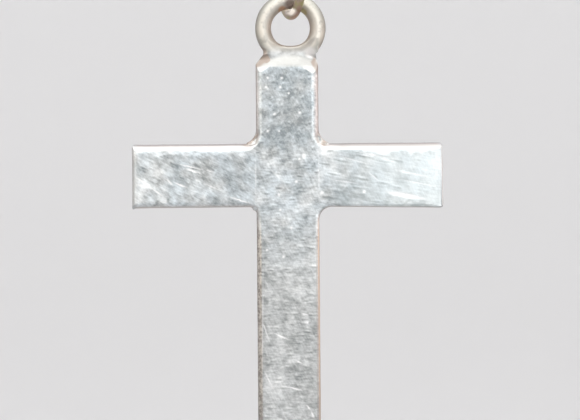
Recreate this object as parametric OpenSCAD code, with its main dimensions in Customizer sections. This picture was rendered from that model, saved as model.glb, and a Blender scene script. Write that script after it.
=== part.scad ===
// A plain Latin cross of sheet silver with softened edges. A round eye is soldered to its top, and a
// jump ring passes through the eye. Millimetres, +Z up, the front of the cross faces -Y. The origin is
// the inside of the jump ring's top, where a chain bears.

/* [Cross] */
// Width across the two arms
arm_span = 20; // [15:0.5:32]
// Height of the upright, without the eye
upright_h = 30; // [20:0.5:48]
// Width of the upright
upright_w = 4.05; // [3.2:0.05:6]
// Height of the arms
arm_h = 4.1; // [2.6:0.05:6]
// From the top of the upright down to the top of the arms
arm_drop = 5.7; // [3:0.1:9]
// Thickness of the plate
plate_t = 1.2; // [0.9:0.05:2]
// Rounding along the plate's edges, front and back
edge_r = 0.4; // [0.1:0.05:0.6]
// Rounding along the top end, which the solderer dressed further back
top_edge_r = 0.55; // [0.1:0.05:0.8]

/* [Corners] */
// Fillet at the two inner corners above the arms
upper_fillet_r = 0.9; // [0.2:0.05:1.5]
// Fillet at the right inner corner below the arms
lower_right_fillet_r = 0.8; // [0.2:0.05:1.5]
// Fillet at the left inner corner below the arms
lower_left_fillet_r = 0.3; // [0.2:0.05:1.5]
// Width cut off the top left corner
left_shoulder_w = 0.45; // [0.1:0.05:0.8]
// Width cut off the top right corner
right_shoulder_w = 0.2; // [0.1:0.05:0.8]
// Height of both cut corners
shoulder_h = 0.75; // [0.2:0.05:1.5]

/* [Eye] */
// Inside diameter of the eye
eye_bore = 2.5; // [1.8:0.1:4]
// Thickness of the eye's wire
eye_wire = 1.02; // [0.6:0.02:1.5]
// How far the eye sits to the right of the upright's middle
eye_shift = 0.2; // [-0.4:0.05:0.4]
// How deep the eye is let into the top of the upright
eye_sink = 0.56; // [0.3:0.02:0.9]
// How far solder fills the bottom of the eye
solder_fill = 0.13; // [0.02:0.01:0.3]
// Thickness of the solder between the eye and the plate
solder_t = 0.8; // [0.4:0.05:1]

/* [Jump ring] */
// Inside diameter of the jump ring
ring_bore = 3.8; // [3:0.1:7]
// Thickness of the jump ring's wire
ring_wire = 0.6; // [0.4:0.05:0.9]
// How far the jump ring is turned out of square with the cross, in degrees
ring_turn = 17; // [0:1:30]
// How far the jump ring hangs to the right of the eye's middle
ring_shift = 0.15; // [-0.3:0.05:0.3]

/* [Fit] */
// Gap between the jump ring's wire and the eye that hangs on it
hang_gap = 0.1; // [0.05:0.01:0.3]

/* [Hidden] */
$fn = 64;

// The most of a wall's thickness that the rounding of one of its edges takes
MOST_ROUNDING = 0.46;
// Longer than any piece, for cuts that run past it
REACH = 2 * (arm_span + upright_h);

eye_outer_r = eye_bore / 2 + eye_wire;
ring_r = (ring_bore + ring_wire) / 2;
// The bottom of the jump ring's wire carries the eye, and the cross swings about that wire.
carrying_z = -ring_bore - ring_wire / 2;
// The jump ring's bottom lies against the eye a little beside the eye's top.
carrying_r = eye_bore / 2 - hang_gap - ring_wire / 2;
eye_z = carrying_z - sqrt(carrying_r * carrying_r - ring_shift * ring_shift);
// The plate has its own frame: x from the upright's middle, z from the upright's top.
plate_top_z = eye_z - eye_outer_r + eye_sink;
eye_height = eye_z - plate_top_z;

// Each side of an outline is [x, z, outward angle, edge rounding], with x and z of a point on it.
UPRIGHT_SIDES = [
    [upright_w / 2, 0, 0, edge_r],
    [-upright_w / 2, 0, 180, edge_r],
    [0, -upright_h, -90, edge_r],
    [0, 0, 90, top_edge_r],
    [-upright_w / 2, -shoulder_h, atan2(left_shoulder_w, -shoulder_h), edge_r],
    [upright_w / 2, -shoulder_h, atan2(right_shoulder_w, shoulder_h), edge_r],
];
ARM_SIDES = [
    [arm_span / 2, 0, 0, edge_r],
    [-arm_span / 2, 0, 180, edge_r],
    [0, -arm_drop, 90, edge_r],
    [0, -arm_drop - arm_h, -90, edge_r],
];
SOLDER_SIDES = [
    [left_shoulder_w - upright_w / 2, 0, 180, edge_r],
    [upright_w / 2 - right_shoulder_w, 0, 0, edge_r],
    [0, eye_height - eye_bore / 2 + solder_fill, 90, edge_r],
    [0, -shoulder_h, -90, edge_r],
];
// Each inner corner is [side in x, z of the arm's edge, side in z, fillet].
INNER_CORNERS = [
    [-1, -arm_drop, 1, upper_fillet_r],
    [1, -arm_drop, 1, upper_fillet_r],
    [-1, -arm_drop - arm_h, -1, lower_left_fillet_r],
    [1, -arm_drop - arm_h, -1, lower_right_fillet_r],
];

function rounding(r, t) = min(r, MOST_ROUNDING * t);

// Section through a plate that fills x < 0, with both edges at x = 0 rounded
module edge_section(t, r) {
    e = rounding(r, t);
    translate([-REACH, -t / 2]) square([REACH - e, t]);
    translate([-REACH, e - t / 2]) square([REACH, t - 2 * e]);
    for (side = [-1, 1]) translate([-e, side * (t / 2 - e)]) circle(e);
}

// Convex plate inside all of its sides, with every edge rounded
module soft_plate(t, sides) {
    intersection_for (s = sides)
        translate([s[0], 0, s[1]])
            rotate([0, -s[2], 0])
                linear_extrude(height = 2 * REACH, center = true)
                    edge_section(t, s[3]);
}

// Fillet in the corner where the edges of two plates meet, with the edge rounding carried round it
module inner_fillet(r) {
    e = rounding(edge_r, plate_t);
    difference() {
        translate([-e, -plate_t / 2, -e]) cube([r + e, plate_t, r + e]);
        translate([r, 0, r])
            rotate([90, 0, 0])
                rotate_extrude()
                    difference() {
                        translate([0, -plate_t]) square([r + e, 2 * plate_t]);
                        translate([r, 0]) mirror([1, 0]) edge_section(plate_t, edge_r);
                    }
    }
}

module plate() {
    soft_plate(plate_t, UPRIGHT_SIDES);
    soft_plate(plate_t, ARM_SIDES);
    for (c = INNER_CORNERS)
        translate([c[0] * upright_w / 2, 0, c[1]])
            mirror([c[0] < 0 ? 1 : 0, 0, 0])
                mirror([0, 0, c[2] < 0 ? 1 : 0])
                    inner_fillet(c[3]);
}

// Round wire closed to a ring whose hole runs along Y
module wire_ring(r, wire) {
    rotate([90, 0, 0]) rotate_extrude() translate([r, 0]) circle(d = wire);
}

module cross() {
    color("silver")
        translate([-ring_shift - eye_shift, 0, plate_top_z]) {
            plate();
            soft_plate(solder_t, SOLDER_SIDES);
            translate([eye_shift, 0, eye_height]) wire_ring((eye_bore + eye_wire) / 2, eye_wire);
        }
}

module jump_ring() {
    color("darkkhaki")
        translate([0, 0, -ring_bore / 2])
            rotate([0, 0, 90 + ring_turn])
                wire_ring(ring_r, ring_wire);
}

cross();
jump_ring();
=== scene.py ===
"""A plain silver cross pendant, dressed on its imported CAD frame.

Two finer meshes of the same size stand for the CAD pieces: the cross, with its eye soldered on and
the marks of hand work and wear, and the jump ring that carries it. +Z is up, +X is to the right and
the front of the cross faces -Y. Pieces are modelled in millimetres and finished in metres.
"""
import math
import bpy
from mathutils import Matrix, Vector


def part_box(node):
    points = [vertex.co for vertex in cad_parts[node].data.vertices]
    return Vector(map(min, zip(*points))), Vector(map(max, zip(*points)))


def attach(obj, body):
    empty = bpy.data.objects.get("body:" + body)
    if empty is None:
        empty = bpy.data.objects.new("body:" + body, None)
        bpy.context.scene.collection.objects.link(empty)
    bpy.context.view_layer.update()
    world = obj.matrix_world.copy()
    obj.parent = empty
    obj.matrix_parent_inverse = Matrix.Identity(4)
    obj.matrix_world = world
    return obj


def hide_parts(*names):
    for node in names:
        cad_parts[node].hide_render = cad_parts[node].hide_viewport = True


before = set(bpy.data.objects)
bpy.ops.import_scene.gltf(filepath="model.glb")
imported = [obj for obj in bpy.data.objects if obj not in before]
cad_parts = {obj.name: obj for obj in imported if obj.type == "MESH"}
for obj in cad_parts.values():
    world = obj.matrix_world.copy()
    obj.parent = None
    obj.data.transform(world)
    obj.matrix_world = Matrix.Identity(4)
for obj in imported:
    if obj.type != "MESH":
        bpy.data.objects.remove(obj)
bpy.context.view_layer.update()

from types import SimpleNamespace

import bmesh
import bpy
from mathutils import Matrix, Vector, noise

# A millimetre in metres, and a micrometre in millimetres
MM = 0.001
MICRON = 0.001


# Sizes, in millimetres

def cad_limits(node):
    """Lowest and highest corner of a CAD node in millimetres."""
    low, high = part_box(node)
    return low / MM, high / MM


CROSS_LOW, CROSS_HIGH = cad_limits("cross")
RING_LOW, RING_HIGH = cad_limits("jump_ring")

# The plate
UPRIGHT_X = (CROSS_LOW.x + CROSS_HIGH.x) / 2
UPRIGHT_W = 4.05
PLATE_T = CROSS_HIGH.y - CROSS_LOW.y
ARM_REACH = (CROSS_HIGH.x - CROSS_LOW.x) / 2
ARM_H = 4.1
ARM_DROP = 5.7
# Rounding of the plate's sharpest edges, and of the softer ones
EDGE_R = 0.2
UPPER_LEFT_R = 0.45
UPPER_RIGHT_R = 0.5
ARM_TOP_R = 0.58
LOWER_LEFT_R = 0.35
LEFT_TIP_R = 0.3
# Rounding of the arms' corners, the fillets of the inner corners and the cut top corners
TIP_CORNER_R = 0.18
INNER_CORNER_R = 0.15
UPPER_FILLET_R = 0.9
LOWER_RIGHT_FILLET_R = 0.8
LOWER_LEFT_FILLET_R = 0.3
LEFT_SHOULDER_W = 0.5
LEFT_SHOULDER_H = 0.6
RIGHT_SHOULDER_W = 0.17
RIGHT_SHOULDER_H = 0.75
# The arms were sawn a little deeper towards their tips.
LEFT_TIP_SPREAD = 0.02
RIGHT_TIP_SPREAD = 0.12
RIGHT_TIP_SLANT = 0.05

# The eye
EYE_BORE = 2.5
EYE_WIRE = 1.02
EYE_SINK = 0.56
EYE_SHIFT = 0.25
EYE_RADIUS = (EYE_BORE + EYE_WIRE) / 2
EYE_X = UPRIGHT_X + EYE_SHIFT
EYE_Z = CROSS_HIGH.z - EYE_RADIUS - EYE_WIRE / 2
PLATE_TOP_Z = EYE_Z - EYE_RADIUS - EYE_WIRE / 2 + EYE_SINK
SOLDER_FILL = 0.13
SOLDER_T = 0.8
SOLDER_EDGE_R = SOLDER_T / 3
# The solder in the two inner corners above the arms, set back from the faces
WEB_T = 0.7
WEB_ROOT = 0.4

# The jump ring
RING_WIRE = 0.6
RING_RADIUS = (RING_HIGH.z - RING_LOW.z - RING_WIRE) / 2
RING_Z = (RING_HIGH.z + RING_LOW.z) / 2
RING_TURN = math.radians(17)

# The crossing's middle, from which the marks are placed
CROSSING_Z = PLATE_TOP_Z - ARM_DROP - ARM_H / 2

# Cells of the cross's mesh, how often they are smoothed, and what that takes off the eye's wire
CELL = 0.075
CELL_PASSES = 2
SMOOTHED_OFF = 0.04
# Sides of a wire, steps round a ring, and steps round a fillet, the plate's edge and a block's edge
WIRE_SIDES = 40
RING_STEPS = 144
FILLET_STEPS = 8
EDGE_STEPS = 6
BLOCK_STEPS = 4

# Hand work and wear

# Slopes filed on the plate's top end, front and back. Each is x and z of a point on the line where
# it leaves the face, from the upright's middle and top, that line's turn and the slope, in degrees.
FILED_SLOPES = [
    (0.0, -0.80, 0, 19),
    (-1.17, -0.80, 37, 24),
    (0.95, -0.80, -34, 26),
    (-1.46, -0.45, 42, 45),
    (1.76, -0.66, -56, 42),
]
# The slopes end at this height on the plate. From the next height up they go on at a share of
# their steepness. On the eye they fade out between two turns from its bottom, in degrees, and that
# fading has ended at this depth below the plate's top.
FILED_FOOT = -1.8
FILED_EASE = -0.05
FILED_EASED = 0.2
FILED_FADE = (20, 75)
FILED_FADE_DEPTH = 0.3
# How far from the eye's foot the solder has run, how many times it is smoothed, and how closely its
# fill keeps to the bottom of the hole
SOLDER_REACH = 1.4
SOLDER_PASSES = 12
SOLDER_FOCUS = 6
# Depth and width of the low waves that rubbing leaves on the faces and edges
WAVE_DEPTH = 0.022
WAVE_WIDTH = 1.3
# How far the arms' faces fall back at their tips
LEFT_TIP_FALL = 0.08
RIGHT_TIP_FALL = 0.14
# Over what length a soft side takes its rounding, from an inner corner on, how far it runs on past
# an outer corner, and how far the smoothed skin may stand out from it
SIDE_FADE = 0.4
SIDE_RUN_ON = 1.0
SIDE_SLACK = 0.05
# Small lumps of metal pushed up at corners: x and z from the crossing's middle, and radius
BURRS = [
    (-2.16, -2.17, 0.13),
    (-9.94, -2.10, 0.09),
    (1.86, 8.02, 0.20),
]
BURR_BACK = 0.3
# The plainest marks on the front: x and z from the crossing's middle, length, width, turn in
# degrees, and depth in micrometres.
MARKS = [
    (-6.22, 0.57, 1.40, 0.10, -14, 9),
    (-6.08, 0.32, 1.00, 0.14, -20, 14),
    (-4.98, 0.30, 0.55, 0.09, -21, 6),
    (-9.24, -0.38, 1.07, 0.12, -33, 8),
    (-9.30, -0.62, 0.80, 0.16, -12, 8),
    (-8.34, -1.06, 1.11, 0.12, -36, 8),
    (-7.57, -0.39, 0.60, 0.13, -45, 8),
    (-6.86, -0.59, 0.84, 0.13, -23, 12),
    (-4.93, -0.70, 0.98, 0.09, -24, 5),
    (-3.07, -1.58, 1.49, 0.12, -18, 9),
    (7.53, -1.34, 2.30, 0.34, -11, 16),
    (4.36, 0.90, 2.12, 0.10, -15, 4),
    (5.52, 1.25, 2.36, 0.10, -12, 4),
    (5.48, -0.11, 0.92, 0.10, -40, 5),
    (3.64, -0.44, 1.95, 0.10, -8, 4),
    (7.99, 0.04, 2.31, 0.12, -13, 4),
    (8.27, -0.55, 1.97, 0.12, -12, 4),
    (-0.50, -10.33, 0.98, 0.11, -24, 10),
    (0.30, -13.68, 1.12, 0.11, -14, 10),
    (1.22, -14.90, 0.50, 0.13, -52, 9),
    (1.48, -15.36, 0.50, 0.14, -66, 9),
    (0.62, -11.98, 0.49, 0.13, -24, 10),
    (1.03, -8.92, 0.47, 0.12, -16, 8),
    (-1.52, -9.87, 1.51, 0.10, -70, 6),
    (-1.29, -13.16, 1.73, 0.10, -64, 6),
    (-0.67, -0.02, 1.09, 0.16, -45, 4),
    (-1.70, -10.60, 10.0, 0.11, 89, 5),
    (-2.05, -0.10, 3.30, 0.12, 90, 3),
    (2.00, 0.00, 3.30, 0.12, 90, 3),
]
# Pits on the front, painted bright as glints: x and z from the crossing's middle, and width
PIT_GLINTS = [
    (1.04, 1.25, 0.22), (0.55, -0.42, 0.17), (2.18, -1.14, 0.20), (4.89, -1.10, 0.18),
    (0.20, -3.38, 0.18), (-0.31, -5.23, 0.17), (-1.35, -4.78, 0.14), (1.18, -9.44, 0.18),
    (-1.24, 6.23, 0.15), (-0.33, 6.22, 0.15), (-0.44, 5.64, 0.16), (-1.34, 5.65, 0.14),
    (-0.50, -2.22, 0.14), (1.70, 6.19, 0.13), (-0.80, 3.92, 0.17), (0.80, 3.98, 0.16),
    (-1.26, 2.83, 0.16), (-0.53, 2.82, 0.13), (0.10, 5.25, 0.13), (0.77, 1.04, 0.13),
    (-0.57, -1.27, 0.15),
]
# Dull and bright patches on the front, partly the metal's own tone and partly painted light: painted
# highlights on the arms' rounded top edges and on the neck, painted shade at the bottom of the eye's
# hole, and dull patches in the inner corners and at the shoulders that are partly film and partly
# painted shade: x and z from the crossing's middle, length, width, turn in degrees, and strength
PATCHES_AND_PAINTED_LIGHT = [
    (0.00, 8.42, 2.1, 0.5, 0, -1.10),
    (0.10, 7.85, 3.0, 0.6, 0, 0.60),
    (-2.35, 2.38, 1.3, 0.7, 45, -1.20),
    (2.35, 2.38, 1.3, 0.7, -45, -1.20),
    (2.30, 1.90, 0.8, 0.5, -20, -0.30),
    (-1.84, 7.17, 1.4, 0.7, 42, -1.20),
    (-1.50, 7.75, 1.0, 0.7, -60, -1.35),
    (1.92, 7.22, 1.4, 0.5, -70, -1.15),
    (1.42, 7.95, 0.8, 0.5, 60, 0.50),
    (-1.25, 8.15, 0.6, 0.35, 60, -0.50),
    (0.75, 7.69, 0.45, 0.15, -8, -0.35),
    (0.00, 6.80, 2.6, 0.6, 0, 0.14),
    (-6.30, 1.55, 7.5, 0.35, 0, 0.60),
    (6.30, 1.55, 7.0, 0.35, 0, 0.50),
    (7.60, -1.85, 3.5, 0.30, -2, -0.40),
    (0.00, 4.60, 6.0, 4.4, 90, -0.20),
    (-0.45, 2.30, 1.9, 1.1, 60, -0.30),
    (0.30, 4.35, 0.9, 0.7, 0, -0.20),
    (-0.80, 3.10, 0.9, 0.6, 0, -0.18),
    (0.65, 3.40, 1.3, 0.8, 70, -0.15),
    (-0.35, 1.35, 1.5, 0.8, 75, -0.22),
    (1.20, 0.50, 1.3, 1.2, 0, -0.22),
    (1.00, -1.00, 1.4, 0.8, 20, -0.22),
    (-1.90, 0.95, 2.4, 0.7, -25, 0.18),
    (-0.45, 0.10, 1.7, 0.7, -50, 0.24),
    (-0.90, -0.75, 1.5, 1.0, -60, 0.20),
    (1.00, 1.30, 1.3, 0.4, -45, 0.18),
    (0.20, -2.60, 2.4, 0.6, -80, 0.22),
    (1.35, -2.70, 1.1, 0.7, 0, -0.20),
    (-5.20, 0.70, 1.4, 0.9, 0, -0.24),
    (-7.10, -0.30, 0.8, 0.5, 0, -0.10),
    (-9.35, 0.40, 0.8, 1.0, 0, -0.28),
    (-3.60, -0.30, 2.2, 1.6, 0, -0.16),
    (-5.95, -1.55, 0.8, 0.5, 0, -0.22),
    (-5.45, -1.38, 0.45, 0.35, -20, 0.40),
    (-5.58, -0.45, 0.40, 0.30, 0, 0.40),
    (-6.42, -0.33, 0.40, 0.30, -20, 0.35),
    (-8.75, -1.50, 0.35, 0.30, 0, 0.40),
    (-8.40, -1.78, 0.30, 0.30, 0, -0.35),
    (-8.05, -1.60, 0.35, 0.30, 0, 0.35),
    (-7.65, -1.60, 0.30, 0.35, 0, -0.35),
    (-7.20, -1.62, 0.40, 0.30, 0, 0.35),
    (-4.60, -1.85, 3.0, 0.4, 0, -0.22),
    (-9.40, -0.60, 1.2, 0.9, 0, 0.22),
    (-8.50, 0.55, 1.4, 0.5, -30, 0.20),
    (2.30, 1.70, 1.4, 0.8, -20, 0.26),
    (3.40, -1.25, 2.6, 1.0, 0, -0.26),
    (5.40, -1.50, 2.6, 0.7, 0, -0.24),
    (7.20, -0.40, 1.2, 0.7, 0, -0.16),
    (6.60, 0.60, 5.0, 1.8, 0, 0.14),
    (1.10, -7.80, 1.6, 0.9, 80, 0.10),
    (-0.35, -9.20, 2.6, 0.9, 85, -0.08),
    (0.55, -10.80, 1.3, 0.9, 80, -0.22),
    (-1.15, -11.00, 1.8, 0.7, 80, -0.14),
    (0.60, -12.55, 1.2, 0.9, 0, -0.28),
    (0.60, -11.80, 1.0, 0.4, 0, 0.20),
    (-0.60, -7.20, 1.3, 0.8, 80, 0.04),
    (-1.00, -6.00, 1.4, 1.2, 80, 0.12),
    (-1.68, -9.00, 13.0, 0.45, 90, -0.28),
    (0.00, -11.50, 11.0, 6.0, 90, -0.14),
    (-0.75, -13.60, 1.9, 1.7, 0, 0.26),
    (0.30, -15.20, 3.0, 1.6, 0, 0.12),
    (-7.50, 0.00, 5.5, 5.0, 0, 0.10),
]
# Stains and painted light on the eye's front: a dark spot where the jump ring hangs, partly tarnish
# and partly the ring's painted shadow, a brown stain, an olive painted reflection of the ring and a
# pale painted highlight on the neck: x and z from its middle, radius and colour
EYE_STAINS_AND_PAINTED_LIGHT = [
    (0.00, 1.62, 0.47, "#74655f"),
    (-0.52, 1.17, 0.30, "#a98468"),
    (0.84, 1.00, 0.30, "#a39a72"),
    (1.27, -1.60, 0.40, "#d4d1ce"),
]
# How much wider than its row a patch fades out, how far its rim wanders, and over what width
PATCH_SPREAD = 1.3
PATCH_WANDER = 0.45
PATCH_WANDER_WIDTH = 0.6
# Far enough off for the noise to be another one
ELSEWHERE = Vector((0, 100, 0))
# The skin counts as the front where its normal's Y is below this.
FRONT_NORMAL = -0.8
# How far before the eye's middle each of these spots lies, and where it begins and is whole, in radii
STAIN_FRONT = 0.3
STAIN_RIM = 1.1
STAIN_WHOLE = 0.6


# Shapes

def wire_ring(bm, radius, wire, centre, turn=0.0):
    """Round wire in a closed upright ring. Its hole runs along Y before it is turned about Z."""
    section = bmesh.ops.create_circle(bm, cap_ends=False, segments=WIRE_SIDES, radius=wire / 2)["verts"]
    bmesh.ops.translate(bm, vec=(radius, 0, 0), verts=section)
    edges = {edge for vert in section for edge in vert.link_edges}
    before = set(bm.verts) - set(section)
    bmesh.ops.spin(bm, geom=section + list(edges), cent=(0, 0, 0), axis=(0, 1, 0), angle=math.tau,
                   steps=RING_STEPS, use_merge=True)
    ring = [vert for vert in bm.verts if vert not in before]
    bmesh.ops.rotate(bm, cent=(0, 0, 0), matrix=Matrix.Rotation(turn, 3, "Z"), verts=ring)
    bmesh.ops.translate(bm, vec=centre, verts=ring)


def slab(bm, outline, thickness):
    """A slab centred on Y = 0.

    Its outline is x and z from the upright's middle and top, and the fillet of each corner.
    """
    start = Vector((UPRIGHT_X, -thickness / 2, PLATE_TOP_Z))
    verts = [bm.verts.new(start + Vector((x, 0, z))) for x, z, _ in outline]
    others = set(bm.faces)
    bm.faces.new(verts)
    for vert, (_, _, fillet) in zip(verts, outline):
        if fillet:
            bmesh.ops.bevel(bm, geom=[vert], offset=fillet, segments=FILLET_STEPS, profile=0.5,
                            affect="VERTICES", material=-1)
    face = next(face for face in bm.faces if face not in others)
    made = bmesh.ops.extrude_face_region(bm, geom=[face])["geom"]
    moved = [item for item in made if isinstance(item, bmesh.types.BMVert)]
    bmesh.ops.translate(bm, vec=(0, thickness, 0), verts=moved)
    whole = [face for face in bm.faces if face not in others]
    bmesh.ops.recalc_face_normals(bm, faces=whole)
    return whole


def plate(bm):
    """The sawn plate with its filed inner corners and its softened edges."""
    half = UPRIGHT_W / 2
    arms_top = -ARM_DROP
    arms_foot = arms_top - ARM_H
    foot = CROSS_LOW.z - PLATE_TOP_Z
    whole = slab(bm, [
        (-half + LEFT_SHOULDER_W, 0, 0),
        (-half, -LEFT_SHOULDER_H, 0),
        (-half, arms_top, INNER_CORNER_R),
        (-ARM_REACH, arms_top, TIP_CORNER_R),
        (-ARM_REACH, arms_foot - LEFT_TIP_SPREAD, 0),
        (-half, arms_foot, LOWER_LEFT_FILLET_R),
        (-half, foot, 0),
        (half, foot, 0),
        (half, arms_foot, LOWER_RIGHT_FILLET_R),
        (ARM_REACH, arms_foot - RIGHT_TIP_SPREAD, TIP_CORNER_R),
        (ARM_REACH - RIGHT_TIP_SLANT, arms_top, TIP_CORNER_R),
        (half, arms_top, INNER_CORNER_R),
        (half, -RIGHT_SHOULDER_H, 0),
        (half - RIGHT_SHOULDER_W, 0, 0),
    ], PLATE_T)
    rim = {edge for face in whole for edge in face.edges
           if sorted(abs(round(f.normal.y)) for f in edge.link_faces) == [0, 1]}
    bmesh.ops.bevel(bm, geom=list(rim), offset=EDGE_R, segments=EDGE_STEPS, profile=0.5,
                    affect="EDGES", material=-1)


def webs(bm):
    """Solder in the two inner corners above the arms."""
    corner = UPRIGHT_W / 2
    under = corner - WEB_ROOT
    out = corner + UPPER_FILLET_R
    top = -ARM_DROP
    for side in (-1, 1):
        slab(bm, [
            (side * under, top - WEB_ROOT, 0),
            (side * out, top - WEB_ROOT, 0),
            (side * out, top, 0),
            (side * corner, top, UPPER_FILLET_R),
            (side * corner, top + UPPER_FILLET_R, 0),
            (side * under, top + UPPER_FILLET_R, 0),
        ], WEB_T)


def block(bm, low, high, edge_r):
    """A block between two corners with all of its edges rounded."""
    verts = bmesh.ops.create_cube(bm, size=1)["verts"]
    size = Vector(high) - Vector(low)
    bmesh.ops.scale(bm, vec=size, verts=verts)
    bmesh.ops.translate(bm, vec=(Vector(low) + Vector(high)) / 2, verts=verts)
    edges = {edge for vert in verts for edge in vert.link_edges}
    bmesh.ops.bevel(bm, geom=list(edges), offset=edge_r, segments=BLOCK_STEPS, profile=0.5,
                    affect="EDGES", material=-1)


def solder(bm):
    """The solder between the eye and the plate."""
    half = UPRIGHT_W / 2
    block(bm, (UPRIGHT_X - half + LEFT_SHOULDER_W, -SOLDER_T / 2, PLATE_TOP_Z - RIGHT_SHOULDER_H),
          (UPRIGHT_X + half - RIGHT_SHOULDER_W, SOLDER_T / 2, EYE_Z - EYE_BORE / 2), SOLDER_EDGE_R)


def burrs(bm):
    """Lumps of metal at the corners, flush with the front."""
    for x, z, radius in BURRS:
        middle = (UPRIGHT_X + x, BURR_BACK - PLATE_T / 2, CROSSING_Z + z)
        lump = bmesh.ops.create_icosphere(bm, subdivisions=3, radius=radius)["verts"]
        bmesh.ops.translate(bm, vec=middle, verts=lump)


def flow_together(bm, cell):
    """One skin of even cells round everything in bm."""
    mesh = bpy.data.meshes.new("loose")
    bm.to_mesh(mesh)
    loose = bpy.data.objects.new("loose", mesh)
    bpy.context.scene.collection.objects.link(loose)
    remesh = loose.modifiers.new("skin", "REMESH")
    remesh.mode = "VOXEL"
    remesh.voxel_size = cell
    evaluated = loose.evaluated_get(bpy.context.evaluated_depsgraph_get())
    bm.clear()
    bm.from_mesh(evaluated.to_mesh())
    evaluated.to_mesh_clear()
    bpy.data.objects.remove(loose)
    bpy.data.meshes.remove(mesh)


def smooth(bm, verts, passes):
    """Relaxes the verts that many times."""
    for _ in range(passes):
        bmesh.ops.smooth_vert(bm, verts=verts, factor=0.5,
                              use_axis_x=True, use_axis_y=True, use_axis_z=True)


def fade(value, full, none):
    """1 up to the value full, and down to 0 at the value none."""
    return min(1.0, max(0.0, (none - value) / (none - full)))


def soft_sides():
    """The plate's softer sides, each clockwise round the plate: x and z of both ends, and its rounding."""
    half = UPRIGHT_W / 2
    arms_top = -ARM_DROP
    arms_foot = arms_top - ARM_H
    past_tip = ARM_REACH + SIDE_RUN_ON
    past_foot = CROSS_LOW.z - PLATE_TOP_Z - SIDE_RUN_ON
    return [
        (-half, arms_top, -half, 0, UPPER_LEFT_R),
        (half, 0, half, arms_top, UPPER_RIGHT_R),
        (-past_tip, arms_top, -half, arms_top, ARM_TOP_R),
        (half, arms_top, past_tip, arms_top, ARM_TOP_R),
        (-half, past_foot, -half, arms_foot, LOWER_LEFT_R),
        (-half, arms_foot, -past_tip, arms_foot, LOWER_LEFT_R),
        (-ARM_REACH, arms_foot - SIDE_RUN_ON, -ARM_REACH, arms_top + SIDE_RUN_ON, LEFT_TIP_R),
    ]


def soften(bm):
    """Rounds the plate's softer sides further back."""
    start = Vector((UPRIGHT_X, 0, PLATE_TOP_Z))
    for at_x, at_z, to_x, to_z, rounding in soft_sides():
        first = start + Vector((at_x, 0, at_z))
        side = Vector((to_x - at_x, 0, to_z - at_z))
        run = side.normalized()
        out = Vector((-run.z, 0, run.x))
        for vert in bm.verts:
            depth = (first - vert.co).dot(out)
            along = (vert.co - first).dot(run)
            end = min(along, side.length - along)
            if not -SIDE_SLACK < depth < rounding or end < 0:
                continue
            radius = EDGE_R + (rounding - EDGE_R) * fade(-end, -SIDE_FADE, 0)
            middle = PLATE_T / 2 - radius
            beyond = Vector((radius - depth, abs(vert.co.y) - middle))
            if min(beyond) <= 0 or beyond.length < radius:
                continue
            kept = radius / beyond.length
            vert.co -= out * beyond.x * (1 - kept)
            vert.co.y = math.copysign(middle + beyond.y * kept, vert.co.y)


def run_solder(bm):
    """Lets the solder flow between the eye and the plate's top end, and up round the hole's bottom."""
    foot = Vector((EYE_X, 0, PLATE_TOP_Z))
    near = [vert for vert in bm.verts if (vert.co - foot).length < SOLDER_REACH]
    for vert in near:
        out = Vector((vert.co.x - EYE_X, 0, vert.co.z - EYE_Z))
        low = max(0.0, -out.z / out.length)
        inside = fade(out.length, EYE_BORE / 2, EYE_RADIUS)
        vert.co -= out.normalized() * SOLDER_FILL * low ** SOLDER_FOCUS * inside
    smooth(bm, near, SOLDER_PASSES)


def file_slopes(bm):
    """Files the slopes at the plate's top end, front and back."""
    for vert in bm.verts:
        x = vert.co.x - UPRIGHT_X
        z = vert.co.z - PLATE_TOP_Z
        turned = math.degrees(math.atan2(abs(vert.co.x - EYE_X), EYE_Z - vert.co.z))
        if z < FILED_FOOT or turned > FILED_FADE[1]:
            continue
        kept = 1 - (1 - fade(turned, *FILED_FADE)) * fade(-z, 0, FILED_FADE_DEPTH)
        eased = min(z, FILED_EASE) + FILED_EASED * max(0.0, z - FILED_EASE)
        for at_x, at_z, turn, slope in FILED_SLOPES:
            lean = math.radians(turn)
            beyond = (eased - at_z) * math.cos(lean) - (x - at_x) * math.sin(lean)
            limit = PLATE_T / 2 - beyond * math.tan(math.radians(slope)) * kept
            if beyond > 0 and abs(vert.co.y) > limit:
                vert.co.y = math.copysign(limit, vert.co.y)


def in_mark(x, z, length, width, turn):
    """How far a place lies inside a mark's ellipse: 1 at its middle and 0 at its edge and beyond."""
    lean = math.radians(turn)
    along = x * math.cos(lean) + z * math.sin(lean)
    across = z * math.cos(lean) - x * math.sin(lean)
    return max(0.0, 1 - (2 * along / length) ** 2 - (2 * across / width) ** 2)


def patchiness(place, x, z):
    """How bright or dull the front is at a place, with x and z from the crossing's middle."""
    x += PATCH_WANDER * noise.noise(place / PATCH_WANDER_WIDTH)
    z += PATCH_WANDER * noise.noise(place / PATCH_WANDER_WIDTH + ELSEWHERE)
    return sum(strength * in_mark(x - at_x, z - at_z, PATCH_SPREAD * length, PATCH_SPREAD * width, turn)
               for at_x, at_z, length, width, turn, strength in PATCHES_AND_PAINTED_LIGHT)


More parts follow.
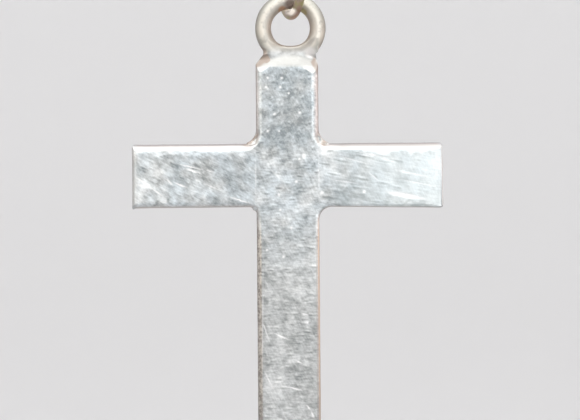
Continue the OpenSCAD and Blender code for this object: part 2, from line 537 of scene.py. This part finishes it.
def wear(bm):
    """Rubs low waves into the whole skin and presses the marks into the front. It only moves inward.

    A mark is at least two cells wide. The patches go into an attribute that the silver reads.
    """
    bm.normal_update()
    patches = bm.verts.layers.float.new("patches")
    dents = []
    for vert in bm.verts:
        x = vert.co.x - UPRIGHT_X
        z = vert.co.z - CROSSING_Z
        dent = WAVE_DEPTH * (0.5 + 0.5 * noise.noise(vert.co / WAVE_WIDTH))
        tip_fall = RIGHT_TIP_FALL if x > 0 else LEFT_TIP_FALL
        dent += tip_fall * (abs(x) / ARM_REACH) ** 3 * abs(vert.normal.y)
        if vert.normal.y < FRONT_NORMAL:
            for at_x, at_z, length, width, turn, depth in MARKS:
                dent += depth * MICRON * in_mark(x - at_x, z - at_z, length, max(width, 2 * CELL), turn)
        if vert.normal.y < 0:
            vert[patches] = patchiness(vert.co, x, z)
        dents.append((vert, dent))
    for vert, dent in dents:
        vert.co -= vert.normal * dent


def finished(name, bm, body, node, material):
    """Brings a shape to metres as a piece that rides on its body and stands for its CAD node."""
    bmesh.ops.scale(bm, vec=(MM, MM, MM), verts=bm.verts)
    mesh = bpy.data.meshes.new(name)
    bm.to_mesh(mesh)
    bm.free()
    mesh.shade_smooth()
    mesh.materials.append(material)
    piece = bpy.data.objects.new(name, mesh)
    bpy.context.scene.collection.objects.link(piece)
    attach(piece, body)
    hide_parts(node)


# Materials

# How the strokes of the rubbing lie in each part of the front: turn in degrees, length and width.
# The real ones are too fine to show in the render, so they are drawn this coarse.
UPRIGHT_STROKES = (-3, 0.45, 0.14)
NECK_STROKES = (0, 0.25, 0.17)
LEFT_ARM_STROKES = (-27, 0.6, 0.12)
RIGHT_ARM_STROKES = (-11, 1.0, 0.15)
CROSSING_STROKES = (-62, 0.6, 0.12)
# Where the strokes change: height above the crossing's middle, and distance from the upright's
NECK_STROKES_FROM = 1.5
ARM_STROKES_FROM = 2.0
# Scratches: how many come to a stroke's length and width, where one begins and is whole, as shares of
# their spacing, and how far its dark side lies from its bright one, in widths of a stroke
SCRATCH_DENSITY = 0.55
SCRATCH_RIM = 0.34
SCRATCH_WHOLE = 0.1
SCRATCH_SHADE = (0, 0, 0.9)
# Widths of the metal's clouds, tints, mottling and grain, the last as coarse as it has to be to show
CLOUD_WIDTH = 3.0
TINT_WIDTH = 1.1
MOTTLE_WIDTH = 0.6
GRAIN_WIDTH = 0.16
# A charted mark is painted brightest from this depth on, in micrometres, and a pit's painted glint is
# this much wider than the pit and at this strength. Their rims are ragged by this much, over this width.
BRIGHTEST_DEPTH = 10
PIT_SPREAD = 1.3
PIT_STRENGTH = 0.8
RIM_SHAKE = 0.09
RIM_SHAKE_WIDTH = 0.15
# Where a charted mark begins and where it is whole, as shares of the way from its middle to its edge,
# and how deep into the metal its tone goes
MARK_RIM = 1.3
MARK_WHOLE = 0.1
MARK_TONE_DEPTH = 0.5
# Where each tone begins and where it is whole: height from the crossing's middle
COOLER_PARTS = (-7.0, -1.5)
EVEN_LOWER_ARM = (-3.0, -6.0)
LOWER_ARM_FILM_AND_SHADE = (-2.5, -4.0)
# Distance from the upright's middle
EVEN_RIGHT_ARM = (1.8, 6.5)
RIGHT_ARM_EDGE_SHADE = (2.5, 3.5)
# Distance past the arms' ends
GREY_ARM_ENDS = (-0.42, -0.12)
# Height above the plate's top
DULL_TOP_END = (-0.88, -0.68)
EYE_TONE = (0.1, 0.6)
# Distance outside the middle line of the eye's wire: for the painted highlight along its crest, and
# for painted shade inside it and outside it
CREST_PAINTED_HIGHLIGHT = (-0.04, 0.08)
INSIDE_PAINTED_SHADE = (0.02, -0.16)
OUTSIDE_PAINTED_SHADE = (0.1, 0.42)
# The pale spot on the jump ring's bottom, partly rubbed bright by the eye and partly a painted highlight:
# height above the wire's bottom line, turn in degrees, half its length, depth and width, and where it
# begins and is whole, as shares of them
WORN_SHEEN_RISE = 0.14
WORN_SHEEN_TURN = 22
WORN_SHEEN_HALF = (0.40, 2.0, 0.23)
WORN_SHEEN_RIM = 1.3
WORN_SHEEN_WHOLE = 0.8
# Widths of the tarnish's patches and grain
TARNISH_WIDTH = 0.8
TARNISH_GRAIN_WIDTH = 0.15


def linear(hex_colour):
    """A colour written as sRGB hex, as linear red, green, blue and alpha."""
    channels = [int(hex_colour[i:i + 2], 16) / 255 for i in (1, 3, 5)]
    return [c / 12.92 if c <= 0.04045 else ((c + 0.055) / 1.055) ** 2.4 for c in channels] + [1]


def add(tree, kind, inputs, **settings):
    """Adds a node. settings are its properties, and inputs gives its sockets a value, a socket or a node."""
    made = tree.nodes.new("ShaderNode" + kind)
    for name, value in settings.items():
        setattr(made, name, value)
    for key, value in inputs.items():
        if isinstance(value, bpy.types.Node):
            value = value.outputs[0]
        if isinstance(value, bpy.types.NodeSocket):
            tree.links.new(value, made.inputs[key])
        else:
            made.inputs[key].default_value = value
    return made


def new_material(name):
    """An empty material and its tree."""
    material = bpy.data.materials.new(name)
    material.use_nodes = True
    material.node_tree.nodes.clear()
    return material, material.node_tree


def weighted(tree, parts):
    """The sum of parts, each with its weight."""
    whole = 0.0
    for part, weight in parts:
        whole = add(tree, "Math", {0: part, 1: weight, 2: whole}, operation="MULTIPLY_ADD")
    return whole


def coat(tree, tone, colour, measure, none, full, most=1.0, only=None):
    """Lays a colour over a tone, from nothing where a measure is at none to the most at full and beyond.

    The colour is sRGB hex or a node's. only is a second amount, for a coat that lies only there.
    """
    amount = add(tree, "MapRange", {"Value": measure, "From Min": none, "From Max": full, "To Max": most})
    if only is not None:
        amount = add(tree, "Math", {0: amount, 1: only}, operation="MULTIPLY")
    over = linear(colour) if isinstance(colour, str) else colour
    # A Mix of colours has them in its sockets 6 and 7, and gives its third output.
    return add(tree, "Mix", {0: amount, 6: tone, 7: over}, data_type="RGBA").outputs[2]


def places(start, span):
    """The two ends of a span from a start, in metres."""
    return [(start + end) * MM for end in span]


def surface_of(tree, tone, rough, bumps):
    """Finishes a metal's tree with its tone, its roughness and its relief."""
    surface = add(tree, "BsdfPrincipled", {
        "Base Color": tone,
        "Metallic": 1.0,
        "Roughness": rough,
        "Normal": bumps,
    })
    add(tree, "OutputMaterial", {"Surface": surface})


def lie_of_skin(tree):
    """Where a place on the cross is, which way its skin faces, and how far it belongs to the eye."""
    coordinates = add(tree, "TexCoord", {})
    place = coordinates.outputs["Object"]
    spot = add(tree, "SeparateXYZ", {"Vector": place})
    normal = add(tree, "SeparateXYZ", {"Vector": coordinates.outputs["Normal"]})
    height = spot.outputs["Z"]
    none, full = places(PLATE_TOP_Z, EYE_TONE)
    on_eye = add(tree, "MapRange", {"Value": height, "From Min": none, "From Max": full})
    from_eye = add(tree, "VectorMath", {0: place, 1: (EYE_X * MM, 0, EYE_Z * MM)}, operation="DISTANCE")
    return SimpleNamespace(
        place=place,
        across=spot.outputs["X"],
        height=height,
        aside=normal.outputs["X"],
        facing=add(tree, "Math", {0: normal.outputs["Y"]}, operation="ABSOLUTE"),
        upward=normal.outputs["Z"],
        on_eye=on_eye,
        from_eye=from_eye.outputs["Value"],
    )


def along_strokes(tree, place, strokes):
    """A place in lengths and widths of the strokes that lie this way."""
    turn, length, width = strokes
    return add(tree, "Mapping", {
        "Vector": place,
        "Rotation": (0, -math.radians(turn), 0),
        "Scale": (length * MM, width * MM, width * MM),
    }, vector_type="TEXTURE")


def rubbed_strokes(tree, at):
    """A place in lengths and widths of the strokes, which lie another way on the neck and each arm."""
    space = along_strokes(tree, at.place, UPRIGHT_STROKES)
    for measure, limit, side, strokes in (
        (at.height, CROSSING_Z + NECK_STROKES_FROM, "GREATER_THAN", NECK_STROKES),
        (at.across, UPRIGHT_X - ARM_STROKES_FROM, "LESS_THAN", LEFT_ARM_STROKES),
        (at.across, UPRIGHT_X + ARM_STROKES_FROM, "GREATER_THAN", RIGHT_ARM_STROKES),
    ):
        here = add(tree, "Math", {0: measure, 1: limit * MM}, operation=side)
        # A Mix of vectors has them in its sockets 4 and 5, and gives its second output.
        space = add(tree, "Mix", {0: here, 4: space, 5: along_strokes(tree, at.place, strokes)},
                    data_type="VECTOR").outputs[1]
    return space


def scratches(tree, space):
    """Separate scratches along the strokes, each of its own strength."""
    cells = add(tree, "TexVoronoi", {"Vector": space, "Scale": SCRATCH_DENSITY})
    inside = add(tree, "MapRange", {"Value": cells.outputs["Distance"], "From Min": SCRATCH_RIM,
                                    "From Max": SCRATCH_WHOLE})
    strength = add(tree, "MapRange", {"Value": cells.outputs["Color"], "From Min": 0.35, "From Max": 0.8})
    return add(tree, "Math", {0: inside, 1: strength}, operation="MULTIPLY")


def charted_marks(tree, place):
    """The plainest marks on the front, each at its strength inside its ragged rim and 0 outside."""
    rows = [(x, z, length, width, turn, min(depth / BRIGHTEST_DEPTH, 1))
            for x, z, length, width, turn, depth in MARKS]
    rows += [(x, z, PIT_SPREAD * width, PIT_SPREAD * width, 0, PIT_STRENGTH) for x, z, width in PIT_GLINTS]
    shake = add(tree, "TexNoise", {"Vector": place, "Scale": 1 / (RIM_SHAKE_WIDTH * MM), "Detail": 1.0})
    shake = add(tree, "VectorMath", {0: shake.outputs["Color"], 1: (0.5, 0.5, 0.5)}, operation="SUBTRACT")
    ragged = add(tree, "VectorMath", {0: shake, 1: [RIM_SHAKE * MM] * 3, 2: place},
                 operation="MULTIPLY_ADD")
    whole = 0.0
    for x, z, length, width, turn, strength in rows:
        space = add(tree, "Mapping", {
            "Vector": ragged,
            "Location": ((UPRIGHT_X + x) * MM, -PLATE_T / 2 * MM, (CROSSING_Z + z) * MM),
            "Rotation": (0, -math.radians(turn), 0),
            "Scale": (length / 2 * MM, MARK_TONE_DEPTH * MM, width / 2 * MM),
        }, vector_type="TEXTURE")
        away = add(tree, "VectorMath", {0: space}, operation="LENGTH").outputs["Value"]
        mark = add(tree, "MapRange", {"Value": away, "From Min": MARK_RIM, "From Max": MARK_WHOLE,
                                      "To Max": strength})
        whole = add(tree, "Math", {0: mark, 1: whole}, operation="MAXIMUM")
    return whole


def patterns_of(tree, at):
    """The patterns that the metal, the rubbing and the wear draw on the skin."""
    space = rubbed_strokes(tree, at)
    shaded = add(tree, "VectorMath", {0: space, 1: SCRATCH_SHADE}, operation="ADD")
    crossing = along_strokes(tree, at.place, CROSSING_STROKES)
    place = at.place
    return SimpleNamespace(
        strokes=add(tree, "TexNoise", {"Vector": space, "Scale": 1.0, "Detail": 2.0, "Roughness": 0.6}),
        crossing=add(tree, "TexNoise", {"Vector": crossing, "Scale": 1.0, "Detail": 2.0, "Roughness": 0.6}),
        scratches=add(tree, "Math", {0: scratches(tree, space), 1: scratches(tree, shaded)},
                      operation="SUBTRACT"),
        cloud=add(tree, "TexNoise", {"Vector": place, "Scale": 1 / (CLOUD_WIDTH * MM), "Detail": 2.0}),
        tint=add(tree, "TexNoise", {"Vector": place, "Scale": 1 / (TINT_WIDTH * MM), "Detail": 1.0}),
        mottle=add(tree, "TexNoise", {"Vector": place, "Scale": 1 / (MOTTLE_WIDTH * MM), "Detail": 3.0,
                                      "Roughness": 0.6}),
        grain=add(tree, "TexNoise", {"Vector": place, "Scale": 1 / (GRAIN_WIDTH * MM), "Detail": 1.0}),
        marks=charted_marks(tree, place),
        patches=add(tree, "Attribute", {}, attribute_name="patches").outputs["Fac"],
    )


def evened(tree, at, pattern, above, below):
    """A pattern about 0, with one strength down to the crossing and another on the lower arm."""
    centred = add(tree, "Math", {0: pattern, 1: 0.5}, operation="SUBTRACT")
    none, full = places(CROSSING_Z, EVEN_LOWER_ARM)
    strength = add(tree, "MapRange", {"Value": at.height, "From Min": none, "From Max": full,
                                      "To Min": above, "To Max": below})
    return add(tree, "Math", {0: centred, 1: strength}, operation="MULTIPLY")


def rubbed_faces(tree, at, drawn):
    """The satin grey of the faces, light on the strokes, and cooler in parts, least down the lower arm."""
    bright = weighted(tree, [
        (drawn.strokes, 1.0),
        (drawn.crossing, 0.6),
        (evened(tree, at, drawn.mottle, 1.4, 0.95), 1.0),
        (drawn.grain, 0.28),
        (evened(tree, at, drawn.cloud, 0.95, 0.55), 1.0),
        (drawn.patches, 1.06),
        (drawn.scratches, 0.3),
    ])
    tone = coat(tree, linear("#9a9d9c"), "#fafbfa", bright, 0.465, 1.545)
    cooled = add(tree, "Mix", {0: 1.0, 6: tone, 7: linear("#edf5fb")},
                 data_type="RGBA", blend_type="MULTIPLY").outputs[2]
    in_parts = add(tree, "MapRange", {"Value": drawn.tint.outputs["Color"], "From Min": 0.35, "From Max": 0.6,
                                      "To Min": 0.25, "To Max": 0.95})
    none, full = places(CROSSING_Z, COOLER_PARTS)
    higher = add(tree, "MapRange", {"Value": at.height, "From Min": none, "From Max": full, "To Min": 0.15})
    tone = coat(tree, tone, cooled, in_parts, 0.0, 1.0, only=higher)
    # The right arm is rubbed more evenly towards its tip.
    tone = coat(tree, tone, "#ccd4d4", at.across, *places(UPRIGHT_X, EVEN_RIGHT_ARM), 0.5)
    # Slopes that face upwards are painted even and pale, a painted highlight from the light above, and
    # the plate's top end and the eye are duller.
    tone = coat(tree, tone, "#dddcd7", at.upward, 0.12, 0.3, 0.75)
    tone = coat(tree, tone, "#a5a4a0", at.height, *places(PLATE_TOP_Z, DULL_TOP_END), 0.65)
    # The charted marks and pits are painted near white on the faces, partly the bare metal of the marks
    # and partly a painted glint where they catch the light.
    on_face = add(tree, "MapRange", {"Value": at.facing, "From Min": 0.25, "From Max": 0.8})
    return coat(tree, tone, "#fdfdfd", drawn.marks, 0.0, 1.0, only=on_face)


def edge_film_and_shade(tree, at, drawn, tone):
    """The edges' tone, partly a film that the rubbing reaches less and partly painted shade: grey, darker
    on upward edges and brown down the lower arm, with a pale painted rim.
    """
    # Painted shade with some film: edges that turn away from the front are greyer.
    tone = coat(tree, tone, "#b2a7a3", at.facing, 0.95, 0.4, 0.85)
    # Painted shade: edges that face upwards are darker, a painted dark reflection of what lies above and
    # behind.
    tone = coat(tree, tone, "#989190", at.upward, 0.5, 0.85, 0.75)
    # Painted shade: the right arm's top edge is darker still, dimming its highlight.
    none, full = places(UPRIGHT_X, RIGHT_ARM_EDGE_SHADE)
    right_arm = add(tree, "MapRange", {"Value": at.across, "From Min": none, "From Max": full})
    tone = coat(tree, tone, "#8f8987", at.upward, 0.45, 0.62, 0.6, only=right_arm)
    # The arms' ends are greyer.
    beside = add(tree, "Math", {0: at.across, 1: UPRIGHT_X * MM}, operation="SUBTRACT")
    from_middle = add(tree, "Math", {0: beside}, operation="ABSOLUTE")
    tone = coat(tree, tone, "#a4a6a8", from_middle, *places(ARM_REACH, GREY_ARM_ENDS), 0.55)
    # The lower arm's left edge is speckled brown, partly film and partly painted shade, and its right one
    # has a brown line of painted shade and a pale rim that is a painted highlight.
    none, full = places(CROSSING_Z, LOWER_ARM_FILM_AND_SHADE)
    below = add(tree, "MapRange", {"Value": at.height, "From Min": none, "From Max": full})
    speckle = weighted(tree, [(drawn.mottle, 0.4), (drawn.grain, 0.6)])
    speckled = coat(tree, linear("#8a847e"), "#bfb9b1", speckle, 0.42, 0.58)
    tone = coat(tree, tone, speckled, at.aside, -0.04, -0.2, 0.85, only=below)
    off_wall = add(tree, "MapRange", {"Value": at.facing, "From Min": 0.05, "From Max": 0.3})
    rim = add(tree, "Math", {0: below, 1: off_wall}, operation="MULTIPLY")
    # Painted shade: the brown line on the right edge.
    tone = coat(tree, tone, "#8f8680", at.aside, 0.02, 0.12, 0.6, only=rim)
    # Painted highlight: the pale rim on the right edge.
    tone = coat(tree, tone, "#bfae9f", at.aside, 0.35, 0.6, 0.8, only=rim)
    # The sawn walls are a plain grey.
    return coat(tree, tone, "#9fa7aa", at.facing, 0.2, 0.05, 0.9)


def eye_wire(tree, at, tone):
    """The eye's wire, warmer than the plate, with a painted highlight along its crest and painted shade round
    its hole.
    """
    tone = coat(tree, tone, "#c6c0b6", at.on_eye, 0.0, 1.0, 0.7)
    # Painted highlight along the wire's crest.
    tone = coat(tree, tone, "#fdf8ec", at.from_eye, *places(EYE_RADIUS, CREST_PAINTED_HIGHLIGHT), 0.38, only=at.on_eye)
    # Painted shade on the wire's inner half, round the hole.
    return coat(tree, tone, "#958c80", at.from_eye, *places(EYE_RADIUS, INSIDE_PAINTED_SHADE), 0.33, only=at.on_eye)


def film_and_painted_shade(tree, at, drawn, tone):
    """Film where nothing rubs, and painted shade: on the dullest patches, partly film and partly painted
    shade, on the eye in blotches, and painted shade on the eye's sides and outside.
    """
    # Partly film and partly painted shade: the dullest patches, in the inner corners, at the shoulders and at
    # the bottom of the eye's hole.
    tone = coat(tree, tone, "#97897f", drawn.patches, -0.55, -1.1, 0.85)
    tone = coat(tree, tone, "#aaa7a0", drawn.mottle, 0.5, 0.62, 0.6, only=at.on_eye)
    # Painted shade on the eye's wire where it turns away from the front.
    tone = coat(tree, tone, "#a39488", at.facing, 0.85, 0.3, 0.7, only=at.on_eye)
    # Painted shade on the outer side of the eye's wire and in the crease below it.
    return coat(tree, tone, "#8b8c86", at.from_eye, *places(EYE_RADIUS, OUTSIDE_PAINTED_SHADE), 0.7, only=at.on_eye)


def stains_and_painted_light(tree, at, tone):
    """The charted stains and painted light on the eye's front: tarnish, the jump ring's painted shadow and
    reflection, and a painted highlight.
    """
    for x, z, radius, colour in EYE_STAINS_AND_PAINTED_LIGHT:
        middle = ((EYE_X + x) * MM, -STAIN_FRONT * MM, (EYE_Z + z) * MM)
        away = add(tree, "VectorMath", {0: at.place, 1: middle}, operation="DISTANCE").outputs["Value"]
        # Some of these spots are painted shadow, painted reflection and painted highlight, set like the
        # stains.
        tone = coat(tree, tone, colour, away, STAIN_RIM * radius * MM, STAIN_WHOLE * radius * MM, 0.85)
    return tone


def silver_material():
    """Sterling silver sheet and wire, sawn, filed and rubbed by hand with a fine abrasive.

    It looks a mottled satin grey under short bright strokes and scratches, with bright marks and pits,
    and has a warm film on the edges and on the pendant's eye, where the rubbing hardly reaches. Part of
    this is painted light and shade: pale upward slopes, glints on the marks and pits, bright bands on
    the arms' top edges and the eye's crest, and darker edges, eye sides and hollows.
    """
    material, tree = new_material("hand_rubbed_silver")
    at = lie_of_skin(tree)
    drawn = patterns_of(tree, at)
    tone = rubbed_faces(tree, at, drawn)
    tone = edge_film_and_shade(tree, at, drawn, tone)
    tone = eye_wire(tree, at, tone)
    tone = film_and_painted_shade(tree, at, drawn, tone)
    tone = stains_and_painted_light(tree, at, tone)
    rough = weighted(tree, [(drawn.mottle, 0.14), (drawn.marks, 0.1), (at.on_eye, 0.1), (1.0, 0.32)])
    # The relief's height in metres
    relief = weighted(tree, [
        (drawn.mottle, 6e-6),
        (drawn.strokes, 4e-6),
        (drawn.scratches, 4e-6),
        (drawn.crossing, 3e-6),
        (drawn.grain, 2e-6),
    ])
    smoother_eye = add(tree, "MapRange", {"Value": at.on_eye, "To Min": 1.0, "To Max": 0.3})
    bumps = add(tree, "Bump", {"Height": relief, "Distance": 1.0, "Strength": smoother_eye})
    surface_of(tree, tone, rough, bumps)
    return material


def tarnished_material():
    """Drawn silver wire that has tarnished, and that the eye rubs bright where it hangs.

    It looks a satin grey-brown with olive patches, a pale spot on the bottom that is partly rubbed
    bright and partly a painted highlight, and a redder underside that is painted shade.
    """
    material, tree = new_material("tarnished_silver_wire")
    coordinates = add(tree, "TexCoord", {})
    place = coordinates.outputs["Object"]
    patches = add(tree, "TexNoise", {"Vector": place, "Scale": 1 / (TARNISH_WIDTH * MM), "Detail": 3.0})
    grain = add(tree, "TexNoise", {"Vector": place, "Scale": 1 / (TARNISH_GRAIN_WIDTH * MM), "Detail": 2.0})
    seat = add(tree, "Mapping", {
        "Vector": place,
        "Location": (0, 0, (RING_Z - RING_RADIUS + WORN_SHEEN_RISE) * MM),
        "Rotation": (0, math.radians(WORN_SHEEN_TURN), 0),
        "Scale": [half * MM for half in WORN_SHEEN_HALF],
    }, vector_type="TEXTURE")
    away = add(tree, "VectorMath", {0: seat}, operation="LENGTH").outputs["Value"]
    worn_and_painted_highlight = add(tree, "MapRange", {"Value": away, "From Min": WORN_SHEEN_RIM, "From Max": WORN_SHEEN_WHOLE})
    under = add(tree, "SeparateXYZ", {"Vector": coordinates.outputs["Normal"]}).outputs["Z"]
    tone = coat(tree, linear("#a89488"), "#a09a70", patches, 0.4, 0.58)
    # Partly wear and partly a painted highlight: the pale spot on the bottom.
    tone = coat(tree, tone, "#fffaf4", worn_and_painted_highlight, 0.0, 1.0)
    # Painted shade: the underside, picked by its downward normal, is darker and redder.
    tone = coat(tree, tone, "#a07868", under, -0.6, -0.95, 0.8)
    uneven = weighted(tree, [(grain, 0.4), (worn_and_painted_highlight, 0.5)])
    rough = add(tree, "MapRange", {"Value": uneven, "From Min": 0.1, "From Max": 0.8,
                                   "To Min": 0.26, "To Max": 0.95})
    relief = weighted(tree, [(patches, 6e-6), (grain, 2e-6)])
    bumps = add(tree, "Bump", {"Height": relief, "Distance": 1.0, "Strength": 1.0})
    surface_of(tree, tone, rough, bumps)
    return material


def paper_material():
    """Matt paper, which looks an even pale ground without highlights."""
    material, tree = new_material("pale_paper")
    surface = add(tree, "BsdfPrincipled", {"Base Color": linear("#e8e7e7"), "Roughness": 0.9})
    add(tree, "OutputMaterial", {"Surface": surface})
    return material


# Pieces

def make_cross():
    """The plate, the eye and the solder between them, as one skin."""
    bm = bmesh.new()
    plate(bm)
    wire_ring(bm, EYE_RADIUS, EYE_WIRE + SMOOTHED_OFF, (EYE_X, 0, EYE_Z))
    solder(bm)
    webs(bm)
    burrs(bm)
    flow_together(bm, CELL)
    smooth(bm, bm.verts, CELL_PASSES)
    soften(bm)
    file_slopes(bm)
    run_solder(bm)
    wear(bm)
    finished("silver_cross", bm, "cross", "cross", silver_material())


def make_jump_ring():
    """The jump ring, square to the eye but for a small turn."""
    bm = bmesh.new()
    wire_ring(bm, RING_RADIUS, RING_WIRE, (0, 0, RING_Z), math.radians(90) + RING_TURN)
    bmesh.ops.recalc_face_normals(bm, faces=bm.faces)
    finished("jump_ring_wire", bm, "jump_ring", "jump_ring", tarnished_material())


# Stage

# The pale floor and wall, in metres: reach, curve between them, the wall's height, the floor's place
SWEEP_RADIUS = 0.5
SWEEP_CURVE = 0.2
SWEEP_HEIGHT = 0.5
FLOOR_Z = -0.25
CURVE_STEPS = 16
SWEEP_STEPS = 96

# Softboxes above and to both sides, which leave the way straight ahead dim: place and size in
# metres, radiance and colour
SOFTBOXES = [
    ("top_softbox", (0.01, -0.015, 0.062), (0.16, 0.09), 1.35, "#ffffff"),
    ("high_front_softbox", (0.0, -0.085, 0.042), (0.16, 0.03), 0.8, "#ffffff"),
    ("left_softbox", (-0.06, -0.08, 0.0), (0.07, 0.05), 1.3, "#fff6ea"),
    ("left_side_softbox", (-0.075, -0.005, 0.0), (0.04, 0.025), 1.3, "#fff0e2"),
    ("right_softbox", (0.045, -0.085, -0.006), (0.05, 0.05), 2.4, "#ffffff"),
    ("right_side_softbox", (0.072, -0.005, -0.01), (0.10, 0.04), 1.35, "#ffebe3"),
]
ROOM_COLOUR = "#f4f5f6"
ROOM_RADIANCE = 1.35

# The photograph's framing: pixels for each millimetre at the cross, its lean and the eye's place
PHOTO_SIZE = (580, 420)
PHOTO_SCALE = 15.53
PHOTO_LEAN = math.radians(0.45)
PHOTO_EYE = (290.4, 28.3)
# The camera's sensor and lens, in millimetres, and how near and far it sees, in metres
SENSOR_W = 36.0
LENS = 120.0
NEAREST = 0.005
FARTHEST = 5


def make_sweep():
    """A pale floor that curves up to a pale wall all round."""
    bm = bmesh.new()
    points = [Vector((0.0, 0.0, 0.0)), Vector((SWEEP_RADIUS - SWEEP_CURVE, 0.0, 0.0))]
    for i in range(1, CURVE_STEPS + 1):
        angle = math.radians(90) * i / CURVE_STEPS
        points.append(Vector((SWEEP_RADIUS - SWEEP_CURVE + SWEEP_CURVE * math.sin(angle), 0.0,
                              SWEEP_CURVE - SWEEP_CURVE * math.cos(angle))))
    points.append(Vector((SWEEP_RADIUS, 0.0, SWEEP_HEIGHT)))
    verts = [bm.verts.new(point) for point in points]
    edges = [bm.edges.new(pair) for pair in zip(verts, verts[1:])]
    bmesh.ops.spin(bm, geom=verts + edges, cent=(0, 0, 0), axis=(0, 0, 1), angle=math.tau,
                   steps=SWEEP_STEPS, use_merge=True)
    bmesh.ops.remove_doubles(bm, verts=bm.verts, dist=1e-6)
    bmesh.ops.translate(bm, vec=(0, 0, FLOOR_Z), verts=bm.verts)
    bmesh.ops.recalc_face_normals(bm, faces=bm.faces)
    mesh = bpy.data.meshes.new("studio_sweep")
    bm.to_mesh(mesh)
    bm.free()
    mesh.shade_smooth()
    mesh.materials.append(paper_material())
    sweep = bpy.data.objects.new("studio_sweep", mesh)
    bpy.context.scene.collection.objects.link(sweep)


def softbox(name, at, size, radiance, colour):
    """A rectangular light that faces the crossing from a place."""
    away = Vector(at) - Vector((0, 0, CROSSING_Z * MM))
    data = bpy.data.lights.new(name, "AREA")
    data.shape = "RECTANGLE"
    data.size, data.size_y = size
    # The power that gives the light's face this radiance
    data.energy = math.pi * radiance * size[0] * size[1]
    data.color = linear(colour)[:3]
    light = bpy.data.objects.new(name, data)
    light.location = at
    light.rotation_euler = away.to_track_quat("Z", "Y").to_euler()
    light.visible_camera = False
    bpy.context.scene.collection.objects.link(light)


def make_lights():
    """The softboxes and the pale room round them."""
    for name, at, size, radiance, colour in SOFTBOXES:
        softbox(name, at, size, radiance, colour)
    world = bpy.data.worlds.new("studio")
    world.use_nodes = True
    room = world.node_tree.nodes["Background"]
    room.inputs["Color"].default_value = linear(ROOM_COLOUR)
    room.inputs["Strength"].default_value = ROOM_RADIANCE
    bpy.context.scene.world = world


def make_camera():
    """A level camera before the cross, rolled by the lean that the cross has in the photograph."""
    data = bpy.data.cameras.new("camera")
    data.sensor_width = SENSOR_W
    data.lens = LENS
    data.clip_start = NEAREST
    data.clip_end = FARTHEST
    right = (PHOTO_EYE[0] - PHOTO_SIZE[0] / 2) / PHOTO_SCALE
    up = (PHOTO_SIZE[1] / 2 - PHOTO_EYE[1]) / PHOTO_SCALE
    x = EYE_X - (right * math.cos(PHOTO_LEAN) + up * math.sin(PHOTO_LEAN))
    z = EYE_Z - (up * math.cos(PHOTO_LEAN) - right * math.sin(PHOTO_LEAN))
    distance = PHOTO_SIZE[0] / PHOTO_SCALE * LENS / SENSOR_W
    camera = bpy.data.objects.new("camera", data)
    camera.location = (x * MM, -distance * MM, z * MM)
    camera.rotation_euler = (math.radians(90), PHOTO_LEAN, 0)
    bpy.context.scene.collection.objects.link(camera)
    bpy.context.scene.camera = camera


make_cross()
make_jump_ring()
make_sweep()
make_lights()
make_camera()
bpy.context.scene.view_settings.view_transform = "Standard"
